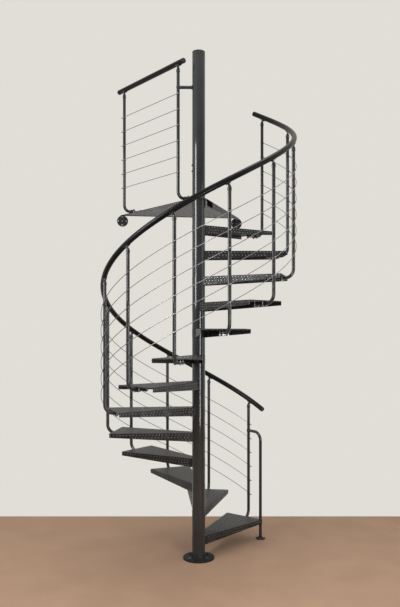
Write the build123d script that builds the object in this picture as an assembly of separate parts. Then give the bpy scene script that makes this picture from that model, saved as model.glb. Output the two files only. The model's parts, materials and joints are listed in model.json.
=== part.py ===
"""Steel spiral staircase: thirteen folded sheet treads and a landing around a centre pole.

Millimetres, +Z up. The origin is on the floor, on the axis of the pole.
The stair climbs counter-clockwise seen from above.
"""
from build123d import *
from math import atan, cos, degrees, hypot, pi, radians, sin, sqrt, tan
import os

# ---------------------------------------------------------------- climb
TREADS = 13
RISER = 200.0
FIRST_RISER = 168.0
TREAD_TURN = 29.06            # degrees from one tread to the next
FIRST_AZIMUTH = 53.98         # centre line of the lowest tread

# ---------------------------------------------------------------- clearances
SLIDE_FIT = 0.15              # round pieces that slide on each other
REST_FIT = 0.15               # round pieces that lie against another piece

# ---------------------------------------------------------------- pole
POLE_D = 100.0
POLE_WALL = 4.0
POLE_ABOVE_LANDING = 1132.0
CAP_RIM = 3.0
CAP_CROWN = 7.0
CAP_PLUG = 22.0

# ---------------------------------------------------------------- base plate
BASE_D = 240.0
BASE_THICKNESS = 12.0
BASE_BEVEL = 3.0
BASE_COLLAR_WALL = 9.0
BASE_COLLAR_HEIGHT = 14.0
BASE_COLLAR_TAPER = 5.4
ANCHOR_HOLES = 4
ANCHOR_HOLE_D = 13.0
ANCHOR_CIRCLE_D = 185.0
ANCHOR_TURN = 45.0

# ---------------------------------------------------------------- treads
SHEET = 3.0
TREAD_R = 690.0               # from the pole's axis to the corners of the nose
TREAD_TIP_WIDTH = 360.0
TREAD_ROOT_WIDTH = 80.0       # across the two edges, at the pole's surface
TREAD_CORNER_R = 10.0
FLANGE_ROOT_DEPTH = 60.0
FLANGE_TIP_DEPTH = 24.0       # also the depth of the nose's own flange
HUB_WALL = 3.0

# ---------------------------------------------------------------- balusters
POST_D = 25.0
POST_CIRCLE_R = 730.0
POST_BEND_R = 65.0
LEG_LENGTH = 180.0            # from the upright's centre line to the leg's end
LEG_DROP = 22.0               # tread surface down to the leg's centre line
LEG_SLOT_CLEARANCE = 1.5
CLAMP_FIRST = 85.0            # upright to the outer clamp
CLAMP_SPACING = 70.0
CLAMP_LENGTH = 24.0
CLAMP_WALL = 5.0
CLAMP_CORNER_R = 6.0

# ---------------------------------------------------------------- handrail
RAIL_D = 40.0
RAIL_HEIGHT = 995.0           # tread surface up to the rail's centre line
RAIL_LEAD = 11.5              # degrees before the lowest baluster
RAIL_TAIL = 6.8               # degrees past the highest baluster
RAIL_CAP = 6.0
RAIL_CAP_EDGE = 4.0
SADDLE_WALL = 4.0
SADDLE_LENGTH = 38.0
SADDLE_ARC = 110.0            # degrees of the rail's girth that a saddle holds
SADDLE_FIT = 0.35
STEM_D = 17.0
STEM_LENGTH = 17.0
CUP_WALL = 2.0
CUP_DEPTH = 15.0
CUP_TOP = 13.0

# ---------------------------------------------------------------- infill wires
WIRES = 6
WIRE_D = 5.0
WIRE_SIDES = 6
WIRE_HEIGHT = 177.0           # tread surface up to the lowest wire
WIRE_SPACING = 120.3
WIRE_END_TURN = 1.4           # degrees past the first and the last baluster

# ---------------------------------------------------------------- landing
LANDING_LEFT_AZIMUTH = 130.4
LANDING_RIGHT_AZIMUTH = 71.3
LANDING_FAR_AZIMUTH = 97.7
LANDING_FAR_DISTANCE = 795.0
LANDING_RING_R = 68.0
LANDING_FLANGE_ROOT = 62.0
LANDING_FLANGE_TIP = 22.0
LANDING_LIP = 12.0

# ---------------------------------------------------------------- landing guard
GUARD_STANDOFF = 53.0         # landing edge out to the uprights' centre line
GUARD_FIRST = 102.0
GUARD_LAST = 844.0
GUARD_BEND_R = 48.0
GUARD_HEIGHT = 1050.0         # landing surface up to the rail's centre line
GUARD_RAIL_START = 35.0
GUARD_RAIL_END = 921.0
GUARD_WIRE_HEIGHT = 205.0
GUARD_WIRE_SPACING = 121.0
GUARD_WIRE_END = 18.0
STRUT_D = 25.0
STRUT_DROP = 187.0            # guard rail's centre line down to the strut's
SLAB_DISC_D = 98.0
SLAB_DISC_THICKNESS = 6.0
SLAB_DISC_DROP = 51.0
SLAB_DISC_INSET = 20.0
SLAB_HOLES = 4
SLAB_HOLE_D = 9.0
SLAB_HOLE_CIRCLE_D = 70.0

# ---------------------------------------------------------------- start brace
BRACE_HEIGHT = 891.0
BRACE_BEND_R = 70.0
BRACE_FOOT_SIDE = 149.0       # tread's centre line to the upright part
FOOT_D = 80.0
FOOT_THICKNESS = 6.0
FOOT_BEVEL = 2.0
FOOT_COLLAR_WALL = 4.0
FOOT_COLLAR_HEIGHT = 16.0

# ---------------------------------------------------------------- worked out
POLE_R = POLE_D / 2
POST_R = POST_D / 2
RAIL_R = RAIL_D / 2
WIRE_R = WIRE_D / 2
BORE_R = POLE_R + SLIDE_FIT
HUB_R = POLE_R + HUB_WALL
NOSE_X = sqrt(TREAD_R ** 2 - (TREAD_TIP_WIDTH / 2) ** 2)
LANDING_TOP = FIRST_RISER + TREADS * RISER
POLE_TOP = LANDING_TOP + POLE_ABOVE_LANDING
TURN_RISE = RISER * 360.0 / TREAD_TURN
RAIL_SLOPE = degrees(atan(TURN_RISE / (2 * pi * POST_CIRCLE_R)))
BRACKET_REACH = RAIL_R + SADDLE_FIT + SADDLE_WALL + STEM_LENGTH
STRUT_HEIGHT = GUARD_HEIGHT - STRUT_DROP
GUARD_OFFSET = LANDING_RING_R + GUARD_STANDOFF
LEG_LIFT = POST_R + REST_FIT


def tread_top(number):
    return FIRST_RISER + (number - 1) * RISER


def tread_azimuth(number):
    return FIRST_AZIMUTH + (number - 1) * TREAD_TURN


def polar(radius, azimuth, height=0.0):
    return Vector(radius * cos(radians(azimuth)), radius * sin(radians(azimuth)), height)


def at_tread(number):
    """Place a piece drawn with the tread's centre line along +X and its surface at zero."""
    return Pos(0, 0, tread_top(number)) * Rot(0, 0, tread_azimuth(number))


def tube_along(path, diameter):
    """A round bar along a path of lines and arcs."""
    start = Plane(origin=path @ 0, z_dir=path % 0)
    return sweep(start * Circle(diameter / 2), path=path)


def helix_bar(section, radius, start_azimuth, end_azimuth, start_height):
    """A bar that climbs with the stair, at a constant distance from the pole."""
    turn = end_azimuth - start_azimuth
    path = Helix(pitch=TURN_RISE, height=TURN_RISE * turn / 360.0, radius=radius)
    start = Plane(origin=path @ 0, z_dir=path % 0)
    bar = sweep(start * section, path=path, is_frenet=True)
    return Pos(0, 0, start_height) * Rot(0, 0, start_azimuth) * bar


# ---------------------------------------------------------------- pole
def base_plate():
    disc = Cylinder(BASE_D / 2, BASE_THICKNESS, align=(Align.CENTER, Align.CENTER, Align.MIN))
    rim = disc.edges().filter_by(GeomType.CIRCLE).sort_by(Axis.Z)[-1]
    disc = chamfer(rim, BASE_BEVEL)
    collar_r = BORE_R + BASE_COLLAR_WALL
    collar = Pos(0, 0, BASE_THICKNESS) * Cone(
        collar_r,
        collar_r - BASE_COLLAR_TAPER,
        BASE_COLLAR_HEIGHT,
        align=(Align.CENTER, Align.CENTER, Align.MIN),
    )
    pole_seat = Pos(0, 0, BASE_THICKNESS) * Cylinder(
        BORE_R, BASE_COLLAR_HEIGHT, align=(Align.CENTER, Align.CENTER, Align.MIN)
    )
    plate = disc + collar - pole_seat
    for turn in range(ANCHOR_HOLES):
        place = Rot(0, 0, ANCHOR_TURN + turn * 360.0 / ANCHOR_HOLES)
        plate -= place * Pos(ANCHOR_CIRCLE_D / 2, 0, 0) * Cylinder(ANCHOR_HOLE_D / 2, 4 * BASE_THICKNESS)
    return plate


def pole():
    height = POLE_TOP - BASE_THICKNESS
    ring = Circle(POLE_R) - Circle(POLE_R - POLE_WALL)
    return Pos(0, 0, BASE_THICKNESS) * extrude(ring, height)


def pole_cap():
    """A low crowned cap with a plug that slides into the pole."""
    plug = Cylinder(
        POLE_R - POLE_WALL - SLIDE_FIT, CAP_PLUG, align=(Align.CENTER, Align.CENTER, Align.MAX)
    )
    rim = Cylinder(POLE_R, CAP_RIM + CAP_CROWN, align=(Align.CENTER, Align.CENTER, Align.MIN))
    crown_r = (POLE_R ** 2 + CAP_CROWN ** 2) / (2 * CAP_CROWN)
    crown = Pos(0, 0, CAP_RIM + CAP_CROWN - crown_r) * Sphere(crown_r)
    return Pos(0, 0, POLE_TOP) * (plug + (rim & crown))


# ---------------------------------------------------------------- treads
def tread_half_width(x):
    """Distance from the tread's centre line to its edge, at a distance x from the pole's axis."""
    share = (x - POLE_R) / (NOSE_X - POLE_R)
    return (TREAD_ROOT_WIDTH + share * (TREAD_TIP_WIDTH - TREAD_ROOT_WIDTH)) / 2


def tread_outline():
    """The sheet seen from above, from the pole's axis to the straight nose."""
    outline = Polygon(
        (0, -tread_half_width(0)),
        (NOSE_X, -tread_half_width(NOSE_X)),
        (NOSE_X, tread_half_width(NOSE_X)),
        (0, tread_half_width(0)),
        align=None,
    )
    corners = outline.vertices().sort_by(Axis.X)[-2:]
    return fillet(corners, TREAD_CORNER_R)


def folded_pan(outline, depth):
    """A sheet with its whole edge folded down."""
    block = extrude(outline, -depth)
    inside = extrude(Pos(0, 0, -SHEET) * offset(outline, -SHEET), -depth)
    return block - inside


def below_slope(root_depth, tip_depth, tip_x, width):
    """Everything under flanges that get shallower from the hub to a distance tip_x."""
    far = 2 * tip_x
    profile = Polygon(
        (0, -root_depth),
        (HUB_R, -root_depth),
        (tip_x, -tip_depth),
        (far, -tip_depth),
        (far, -2 * root_depth),
        (0, -2 * root_depth),
        align=None,
    )
    return extrude(Plane.XZ * profile, width, both=True)


def post_clamps_under():
    """Two saddles under the sheet that hold a baluster's leg."""
    depth = LEG_DROP + POST_R + CLAMP_WALL - SHEET
    width = POST_D + 2 * CLAMP_WALL
    block = Pos(0, 0, -SHEET - depth / 2) * Box(CLAMP_LENGTH, width, depth)
    low = block.edges().filter_by(Axis.X).sort_by(Axis.Z)[:2]
    block = fillet(low, CLAMP_CORNER_R)
    bore = Pos(0, 0, -LEG_DROP) * Rot(0, 90, 0) * Cylinder(POST_R + REST_FIT, 2 * CLAMP_LENGTH)
    clamp = block - bore
    return [Pos(POST_CIRCLE_R - CLAMP_FIRST - step * CLAMP_SPACING, 0, 0) * clamp for step in range(2)]


def tread():
    """One folded tread with its hub, centre line along +X, walking surface at zero."""
    pan = folded_pan(tread_outline(), FLANGE_ROOT_DEPTH)
    pan -= below_slope(FLANGE_ROOT_DEPTH, FLANGE_TIP_DEPTH, NOSE_X, TREAD_R)
    slot_r = POST_R + LEG_SLOT_CLEARANCE
    through = 4 * SHEET
    slot = Pos(NOSE_X, 0, -LEG_DROP) * Rot(0, 90, 0) * Cylinder(slot_r, through)
    slot += Pos(NOSE_X, 0, -LEG_DROP - FLANGE_TIP_DEPTH / 2) * Box(through, 2 * slot_r, FLANGE_TIP_DEPTH)
    pan -= slot
    hub = Cylinder(HUB_R, FLANGE_ROOT_DEPTH, align=(Align.CENTER, Align.CENTER, Align.MAX))
    bore = Cylinder(BORE_R, 3 * FLANGE_ROOT_DEPTH)
    return pan + hub - bore


# ---------------------------------------------------------------- balusters
def post_line(leg_height, bend_r, top_height):
    """Leg, bend and upright of a baluster whose upright stands at x = 0."""
    leg_end = (-LEG_LENGTH, 0, leg_height)
    bend_start = (-bend_r, 0, leg_height)
    bend_end = (0, 0, leg_height + bend_r)
    leg = Line(leg_end, bend_start)
    bend = TangentArc(bend_start, bend_end, tangent=(1, 0, 0))
    upright = Line(bend_end, (0, 0, top_height))
    return Wire([leg, bend, upright])


def elbow_drop(slope):
    """How far a bracket's elbow lies under the rail's centre line, on the baluster's axis."""
    return BRACKET_REACH / cos(radians(slope))


def tread_post():
    top = RAIL_HEIGHT - elbow_drop(RAIL_SLOPE) - CUP_TOP
    return Pos(POST_CIRCLE_R, 0, 0) * tube_along(post_line(-LEG_DROP, POST_BEND_R, top), POST_D)


def rail_bracket(rail_point, rail_direction):
    """Cup on a baluster, elbow, stem and saddle.

    The elbow is at zero, the baluster comes from below, and the rail's centre line passes
    through rail_point, square to the stem.
    """
    cup = Pos(0, 0, -CUP_TOP - CUP_DEPTH) * Cylinder(
        POST_R + SLIDE_FIT + CUP_WALL, CUP_DEPTH + CUP_TOP, align=(Align.CENTER, Align.CENTER, Align.MIN)
    )
    cup -= Pos(0, 0, -CUP_TOP) * Cylinder(
        POST_R + SLIDE_FIT, CUP_DEPTH, align=(Align.CENTER, Align.CENTER, Align.MAX)
    )
    elbow = Sphere(POST_R)
    stem = Plane(origin=(0, 0, 0), z_dir=rail_point) * Cylinder(
        STEM_D / 2, STEM_LENGTH + SADDLE_WALL / 2, align=(Align.CENTER, Align.CENTER, Align.MIN)
    )
    inner = RAIL_R + SADDLE_FIT
    reach = 2 * (inner + SADDLE_WALL)
    half = radians(SADDLE_ARC / 2)
    held = Polygon(
        (0, 0), (reach * cos(half), -reach * sin(half)), (reach * cos(half), reach * sin(half)), align=None
    )
    girth = (Circle(inner + SADDLE_WALL) - Circle(inner)) & held
    across = Plane(origin=rail_point, x_dir=-rail_point, z_dir=rail_direction)
    saddle = across * extrude(girth, SADDLE_LENGTH / 2, both=True)
    return cup + elbow + stem + saddle


def stair_bracket():
    """The bracket of a stair baluster at x = 0: the saddle lies a little downhill of the elbow."""
    back = BRACKET_REACH * sin(radians(RAIL_SLOPE)) / POST_CIRCLE_R
    rail_point = Vector(
        POST_CIRCLE_R * cos(back) - POST_CIRCLE_R,
        -POST_CIRCLE_R * sin(back),
        elbow_drop(RAIL_SLOPE) - POST_CIRCLE_R * back * tan(radians(RAIL_SLOPE)),
    )
    return rail_bracket(rail_point, Vector(sin(back), cos(back), tan(radians(RAIL_SLOPE))))


def guard_bracket():
    return rail_bracket(Vector(0, 0, BRACKET_REACH), Vector(0, 1, 0))


def rail_height_at(azimuth):
    """Height of the stair rail's centre line above the floor."""
    return FIRST_RISER + RAIL_HEIGHT + (azimuth - FIRST_AZIMUTH) * RISER / TREAD_TURN


def handrail():
    start = FIRST_AZIMUTH - RAIL_LEAD
    end = tread_azimuth(TREADS) + RAIL_TAIL
    return helix_bar(Circle(RAIL_R), POST_CIRCLE_R, start, end, rail_height_at(start))


def rail_end_cap():
    """A low domed plug that closes a rail, its seat at zero and its crown towards +Z."""
    cap = Cylinder(RAIL_R, RAIL_CAP, align=(Align.CENTER, Align.CENTER, Align.MIN))
    return fillet(cap.edges().sort_by(Axis.Z)[-1], RAIL_CAP_EDGE)


def rail_end_caps():
    start = FIRST_AZIMUTH - RAIL_LEAD
    end = tread_azimuth(TREADS) + RAIL_TAIL
    caps = []
    for azimuth, way in ((start, -1), (end, 1)):
        along = Vector(-sin(radians(azimuth)), cos(radians(azimuth)), tan(radians(RAIL_SLOPE))) * way
        seat = polar(POST_CIRCLE_R, azimuth, rail_height_at(azimuth))
        caps.append(Plane(origin=seat, z_dir=along) * rail_end_cap())
    for distance, way in ((GUARD_RAIL_START, -1), (GUARD_RAIL_END, 1)):
        seat = guard_point(distance, GUARD_HEIGHT)
        caps.append(Plane(origin=seat, z_dir=guard_along() * way) * rail_end_cap())
    return Compound(caps)


def rail_brackets():
    """One bracket for each baluster of the stair and of the landing guard."""
    sloped = stair_bracket()
    level = guard_bracket()
    brackets = []
    for number in range(1, TREADS + 1):
        elbow = RAIL_HEIGHT - elbow_drop(RAIL_SLOPE)
        brackets.append(at_tread(number) * Pos(POST_CIRCLE_R, 0, elbow) * sloped)
    for distance in (GUARD_FIRST, GUARD_LAST):
        elbow = guard_point(distance, GUARD_HEIGHT - elbow_drop(0))
        brackets.append(Pos(elbow) * Rot(0, 0, LANDING_LEFT_AZIMUTH - 90) * level)
    return Compound(brackets)


def post_clamps():
    """The saddles under each tread, and those that hold the guard's legs on the landing."""
    clamps = []
    for number in range(1, TREADS + 1):
        clamps += [at_tread(number) * clamp for clamp in post_clamps_under()]
    height = POST_D + REST_FIT + CLAMP_WALL
    block = Pos(0, 0, height / 2) * Box(CLAMP_LENGTH, POST_D + 2 * CLAMP_WALL, height)
    high = block.edges().filter_by(Axis.X).sort_by(Axis.Z)[-2:]
    block = fillet(high, CLAMP_CORNER_R)
    bore = Pos(0, 0, LEG_LIFT) * Rot(0, 90, 0) * Cylinder(POST_R + REST_FIT, 2 * CLAMP_LENGTH)
    width = POST_D + 2 * REST_FIT
    passage = Box(2 * CLAMP_LENGTH, width, LEG_LIFT, align=(Align.CENTER, Align.CENTER, Align.MIN))
    clamp = block - bore - passage
    for distance in (GUARD_FIRST, GUARD_LAST):
        for step in range(2):
            reach = CLAMP_FIRST + step * CLAMP_SPACING
            clamps.append(guard_frame(distance) * Pos(-reach, 0, 0) * clamp)
    return Compound(clamps)


# ---------------------------------------------------------------- infill wires
def infill_wires():
    start = FIRST_AZIMUTH - WIRE_END_TURN
    end = tread_azimuth(TREADS) + WIRE_END_TURN
    radius = POST_CIRCLE_R + POST_R + REST_FIT + WIRE_R
    wires = []
    for row in range(WIRES):
        above_rail = WIRE_HEIGHT + row * WIRE_SPACING - RAIL_HEIGHT
        height = rail_height_at(start) + above_rail
        wires.append(helix_bar(RegularPolygon(WIRE_R, WIRE_SIDES), radius, start, end, height))
    return Compound(wires)


# ---------------------------------------------------------------- landing
def line_foot(azimuth, side):
    """Where an edge line that runs out at this azimuth touches the landing's ring."""
    return polar(LANDING_RING_R, azimuth + side * 90)


def far_corner(azimuth, side):
    """Where that edge line meets the far edge."""
    foot = line_foot(azimuth, side)
    away = polar(1, azimuth)
    normal = polar(1, LANDING_FAR_AZIMUTH)
    length = (LANDING_FAR_DISTANCE - foot.dot(normal)) / away.dot(normal)
    return foot + away * length


def landing_outline():
    left_foot = line_foot(LANDING_LEFT_AZIMUTH, 1)
    right_foot = line_foot(LANDING_RIGHT_AZIMUTH, -1)
    left_corner = far_corner(LANDING_LEFT_AZIMUTH, 1)
    right_corner = far_corner(LANDING_RIGHT_AZIMUTH, -1)
    points = [(0, 0), right_foot, right_corner, left_corner, left_foot]
    corners = [(p[0], p[1]) if isinstance(p, tuple) else (p.X, p.Y) for p in points]
    return Polygon(*corners, align=None) + Circle(LANDING_RING_R)


def landing_platform():
    pan = folded_pan(landing_outline(), LANDING_FLANGE_ROOT)
    reach = far_corner(LANDING_LEFT_AZIMUTH, 1).length
    under = below_slope(LANDING_FLANGE_ROOT, LANDING_FLANGE_TIP, LANDING_FAR_DISTANCE, reach)
    pan -= Rot(0, 0, LANDING_FAR_AZIMUTH) * under
    lip_cut = Box(4 * SHEET, 2 * reach, LANDING_FLANGE_ROOT, align=(Align.CENTER, Align.CENTER, Align.MAX))
    pan -= Rot(0, 0, LANDING_FAR_AZIMUTH) * Pos(LANDING_FAR_DISTANCE, 0, -LANDING_LIP) * lip_cut
    hub = Cylinder(HUB_R, LANDING_FLANGE_ROOT, align=(Align.CENTER, Align.CENTER, Align.MAX))
    bore = Cylinder(BORE_R, 3 * LANDING_FLANGE_ROOT)
    return Pos(0, 0, LANDING_TOP) * (pan + hub - bore)


def slab_flanges():
    """Two round plates behind the far edge, bolted to the floor that the stair serves."""
    holes = PolarLocations(SLAB_HOLE_CIRCLE_D / 2, SLAB_HOLES)
    face = Circle(SLAB_DISC_D / 2) - holes * Circle(SLAB_HOLE_D / 2)
    disc = extrude(face, SLAB_DISC_THICKNESS)
    out = polar(1, LANDING_FAR_AZIMUTH)
    left = far_corner(LANDING_LEFT_AZIMUTH, 1)
    right = far_corner(LANDING_RIGHT_AZIMUTH, -1)
    inward = (right - left).normalized()
    discs = []
    for corner, way in ((left, 1), (right, -1)):
        centre = corner + inward * (SLAB_DISC_INSET * way) + Vector(0, 0, LANDING_TOP - SLAB_DISC_DROP)
        discs.append(Plane(origin=centre, x_dir=inward, z_dir=out) * disc)
    return Compound(discs)


# ---------------------------------------------------------------- landing guard
def guard_along():
    return polar(1, LANDING_LEFT_AZIMUTH)


def guard_point(distance, height):
    """A point on the guard's line, measured from the foot of the pole's perpendicular."""
    foot = polar(GUARD_OFFSET, LANDING_LEFT_AZIMUTH + 90, LANDING_TOP + height)
    return foot + guard_along() * distance


def guard_frame(distance):
    """Origin under an upright on the landing's surface, +X away from the landing."""
    return Pos(guard_point(distance, 0)) * Rot(0, 0, LANDING_LEFT_AZIMUTH + 90)


def guard_posts():
    top = GUARD_HEIGHT - elbow_drop(0) - CUP_TOP
    post = tube_along(post_line(LEG_LIFT, GUARD_BEND_R, top), POST_D)
    return Compound([guard_frame(distance) * post for distance in (GUARD_FIRST, GUARD_LAST)])


def guard_rail():
    line = Line(guard_point(GUARD_RAIL_START, GUARD_HEIGHT), guard_point(GUARD_RAIL_END, GUARD_HEIGHT))
    return tube_along(line, RAIL_D)


def guard_wires():
    outside = polar(POST_R + REST_FIT + WIRE_R, LANDING_LEFT_AZIMUTH + 90)
    wires = []
    for row in range(WIRES):
        height = GUARD_WIRE_HEIGHT + row * GUARD_WIRE_SPACING
        start = guard_point(GUARD_FIRST - GUARD_WIRE_END, height) + outside
        end = guard_point(GUARD_LAST + GUARD_WIRE_END, height) + outside
        wires.append(tube_along(Line(start, end), WIRE_D))
    return Compound(wires)


def guard_strut():
    """A tube from the pole to the near upright, its ends cut to both."""
    upright = guard_point(GUARD_FIRST, STRUT_HEIGHT)
    centre = Vector(0, 0, LANDING_TOP + STRUT_HEIGHT)
    tie = tube_along(Line(centre, upright), STRUT_D)
    tie -= Pos(centre) * Cylinder(POLE_R + REST_FIT, 4 * STRUT_D)
    tie -= Pos(upright) * Cylinder(POST_R + REST_FIT, 4 * STRUT_D)
    return tie


# ---------------------------------------------------------------- start brace
def brace_foot():
    """Where the brace stands on the floor, against the lowest tread's nose."""
    beside = Vector(NOSE_X + REST_FIT + POST_R, -BRACE_FOOT_SIDE, 0)
    return beside.rotate(Axis.Z, FIRST_AZIMUTH)


def start_brace():
    """A bent tube from the lowest baluster down to the floor, along the lowest tread's nose."""
    post_axis = polar(POST_CIRCLE_R, FIRST_AZIMUTH, BRACE_HEIGHT)
    foot = brace_foot() + Vector(0, 0, FOOT_THICKNESS)
    run = hypot(foot.X - post_axis.X, foot.Y - post_axis.Y)
    outward = Vector(foot.X - post_axis.X, foot.Y - post_axis.Y, 0).normalized()
    bend_start = post_axis + outward * (run - BRACE_BEND_R)
    bend_end = Vector(foot.X, foot.Y, BRACE_HEIGHT - BRACE_BEND_R)
    level = Line(post_axis, bend_start)
    bend = TangentArc(bend_start, bend_end, tangent=outward)
    drop = Line(bend_end, foot)
    brace = tube_along(Wire([level, bend, drop]), POST_D)
    return brace - Pos(post_axis) * Cylinder(POST_R + REST_FIT, 4 * POST_D)


def start_foot():
    disc = Cylinder(FOOT_D / 2, FOOT_THICKNESS, align=(Align.CENTER, Align.CENTER, Align.MIN))
    disc = chamfer(disc.edges().filter_by(GeomType.CIRCLE).sort_by(Axis.Z)[-1], FOOT_BEVEL)
    bore = POST_R + SLIDE_FIT
    ring = Circle(bore + FOOT_COLLAR_WALL) - Circle(bore)
    collar = Pos(0, 0, FOOT_THICKNESS) * extrude(ring, FOOT_COLLAR_HEIGHT)
    return Pos(brace_foot()) * (disc + collar)


# ---------------------------------------------------------------- output
def build():
    nodes = {
        "base_plate": base_plate(),
        "pole": pole(),
        "pole_cap": pole_cap(),
        "landing_platform": landing_platform(),
        "slab_flanges": slab_flanges(),
        "handrail": handrail(),
        "rail_brackets": rail_brackets(),
        "rail_end_caps": rail_end_caps(),
        "post_clamps": post_clamps(),
        "infill_wires": infill_wires(),
        "guard_posts": guard_posts(),
        "guard_rail": guard_rail(),
        "guard_wires": guard_wires(),
        "guard_strut": guard_strut(),
        "start_brace": start_brace(),
        "start_foot": start_foot(),
    }
    step = tread()
    baluster = tread_post()
    for number in range(1, TREADS + 1):
        nodes[f"tread_{number:02d}"] = at_tread(number) * step
        nodes[f"post_{number:02d}"] = at_tread(number) * baluster
    return nodes


os.makedirs("parts", exist_ok=True)
for name, shape in build().items():
    export_step(shape, f"parts/{name}.step")
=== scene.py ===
import json
from math import atan, cos, hypot, pi, radians, sin, sqrt, tan

import bpy
from mathutils import Matrix, Vector


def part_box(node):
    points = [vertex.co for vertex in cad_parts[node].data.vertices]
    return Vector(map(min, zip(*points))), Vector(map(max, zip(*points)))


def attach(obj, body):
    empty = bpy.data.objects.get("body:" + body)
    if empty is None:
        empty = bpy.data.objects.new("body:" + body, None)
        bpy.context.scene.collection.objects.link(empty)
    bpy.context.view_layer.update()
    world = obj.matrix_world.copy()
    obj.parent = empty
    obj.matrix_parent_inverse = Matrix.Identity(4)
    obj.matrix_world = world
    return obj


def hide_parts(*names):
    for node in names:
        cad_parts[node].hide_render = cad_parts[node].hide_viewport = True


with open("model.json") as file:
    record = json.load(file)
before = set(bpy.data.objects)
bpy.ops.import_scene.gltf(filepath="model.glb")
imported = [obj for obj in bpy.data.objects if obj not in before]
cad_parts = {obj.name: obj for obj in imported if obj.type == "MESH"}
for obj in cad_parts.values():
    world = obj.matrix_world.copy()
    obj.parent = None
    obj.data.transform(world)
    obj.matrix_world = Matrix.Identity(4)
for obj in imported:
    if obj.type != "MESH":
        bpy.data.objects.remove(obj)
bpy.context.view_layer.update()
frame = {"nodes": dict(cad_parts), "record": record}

# Sizes are metres. A piece that repeats is modelled with the pole on Z and the piece's own line on +X.
# HAIR: what a test by place allows. REST_GAP: between resting pieces. SINK: of one into another.
SIDES = (-1, 1)
HAIR = 1e-5
REST_GAP = 0.00015
SINK = 0.001
FINE_EDGE = 0.001
SOFT_EDGE = 0.0012

# --- climb
TREADS = 13
TREAD_NUMBERS = range(1, TREADS + 1)
TREAD_TURN = radians(29.06)
FIRST_TURN = radians(53.98)
LAST_TURN = FIRST_TURN + (TREADS - 1) * TREAD_TURN
FIRST_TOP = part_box("tread_01")[1].z
RISER = (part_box("tread_13")[1].z - FIRST_TOP) / (TREADS - 1)
CLIMB = RISER / TREAD_TURN

# --- pole and base
POLE_R = 0.050
POLE_SCREW_R = 0.0065
POLE_SCREW_TURN = radians(190)
POLE_SCREW_LEVELS = (2.982, 3.028)
BASE_R = 0.120
BASE_THICKNESS = 0.012
BASE_EDGE = 0.003
WELD_R = 0.0072
WELD_CIRCLE_R = POLE_R + 0.0015
WELD_BURIED = 0.002
BASE_COLLAR_R = POLE_R + 0.009
BASE_COLLAR_TOP = BASE_THICKNESS + 0.014
BASE_COLLAR_TAPER = 0.91
ANCHOR_CIRCLE_R = 0.0925
ANCHOR_HEAD = 0.018
ANCHOR_WASHER_R = 0.012
CROWN_GAP = 0.0006
CROWN_RIM = 0.003
CROWN_STEP = POLE_R * 0.24
CROWN_RISES = (0.44, 0.35, 0.21)
CROWN_PLUG = 0.020
CROWN_PLUG_INSET = 0.005

# --- treads
SHEET = 0.003
TREAD_R = 0.690
TREAD_TIP_WIDTH = 0.360
TREAD_ROOT_WIDTH = 0.080
TREAD_CORNER_R = 0.010
NOSE_X = sqrt(TREAD_R**2 - (TREAD_TIP_WIDTH / 2) ** 2)
FLANGE_ROOT = 0.067
FLANGE_TIP = 0.032
NOSE_LIP = 0.008
HUB_R = 0.0512
HUB_GAP = 0.0002
HUB_EDGE = 0.0006
TREAD_ROOT_REACH = 0.01

# --- pressed studs
STUD_R = 0.0065
STUD_CROWN = 0.6
STUD_HEIGHT = 0.0021
STUD_SINK = 0.0002
STUD_PITCH = 0.025
ROW_PITCH = STUD_PITCH * 0.866
STUDS_FROM_HUB = 0.018
STUDS_FROM_NOSE = 0.020
STUDS_FROM_SIDE = 0.014
SIDE_ROWS = 3
SIDE_ROW_DROP = 0.0135
SIDE_ROW_PITCH = STUD_PITCH * 0.8
SIDE_ROW_FOOT = 0.008
SIDE_ROW_START = 0.012
SIDE_ROW_END = 0.006
SIDE_ROW_STEP = 0.004

# --- balusters
POST_R = 0.0125
POST_CIRCLE_R = 0.730
POST_BEND_R = 0.065
LEG_LENGTH = 0.180
LEG_DROP = 0.022
GUARD_LEG_LIFT = POST_R + REST_GAP
TUBE_SIDES = 24
BEND_STEPS = 12
CLAMP_BACKS = (0.085, 0.155)
CLAMP_LENGTH = 0.024
CLAMP_REACH = 0.019
CRADLE_R = POST_R + 0.0002
CRADLE_ARC = radians(48)
CRADLE_EDGE = radians(37)
BRIDGE = 0.005
BRIDGE_WING = 0.019
STUD_BOLT_R = 0.004
STUD_BOLT_END = 0.009
STUD_BOLT_EDGE = 0.0009
GUARD_BOLT_END = 0.006

# --- handrail
RAIL_R = 0.020
RAIL_EDGE = 0.0008
RAIL_HEIGHT = 0.995
RAIL_START = FIRST_TURN - radians(11.5)
RAIL_END = LAST_TURN + radians(6.8)
RAIL_ENDS = ((RAIL_START, -1), (RAIL_END, 1))
RAIL_SPARE = radians(1.5)
RAIL_END_REACH = 0.12
HELIX_STEP = radians(3.0)
CAP_LENGTH = 0.006
CAP_GAP = 0.0008
CAP_NECK = 0.0012
CAP_ROUND = 0.0042

# --- rail brackets
SADDLE_R = RAIL_R + 0.0003
SADDLE_GAP = 0.00035
SADDLE_WALL = 0.004
SADDLE_LENGTH = 0.038
SADDLE_ARC = radians(56)
SADDLE_SCREW_R = 0.0042
SADDLE_SCREW_REACH = 0.0135
STEM_R = 0.0085
STEM_LENGTH = 0.017
STEM_WAIST = (0.004, 0.009)
KNUCKLE_R = 0.0115
KNUCKLE_CHEEK = 0.0085
NARROWED = 0.82
CUP_R = POST_R + 0.0021
CUP_RIM = -0.002
CUP_TOP = 0.013
CUP_DEPTH = 0.015
CUP_ROUND = 0.0065
CUP_WALL = 0.0016
CUP_HOLLOW = 0.0015
CUP_SCREW_R = 0.0035
CUP_SCREW_SEAT = (0, -POST_R - 0.0018, -0.02)
BRACKET_REACH = RAIL_R + SADDLE_GAP + SADDLE_WALL + STEM_LENGTH
SLOPE = atan(CLIMB / POST_CIRCLE_R)
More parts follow.
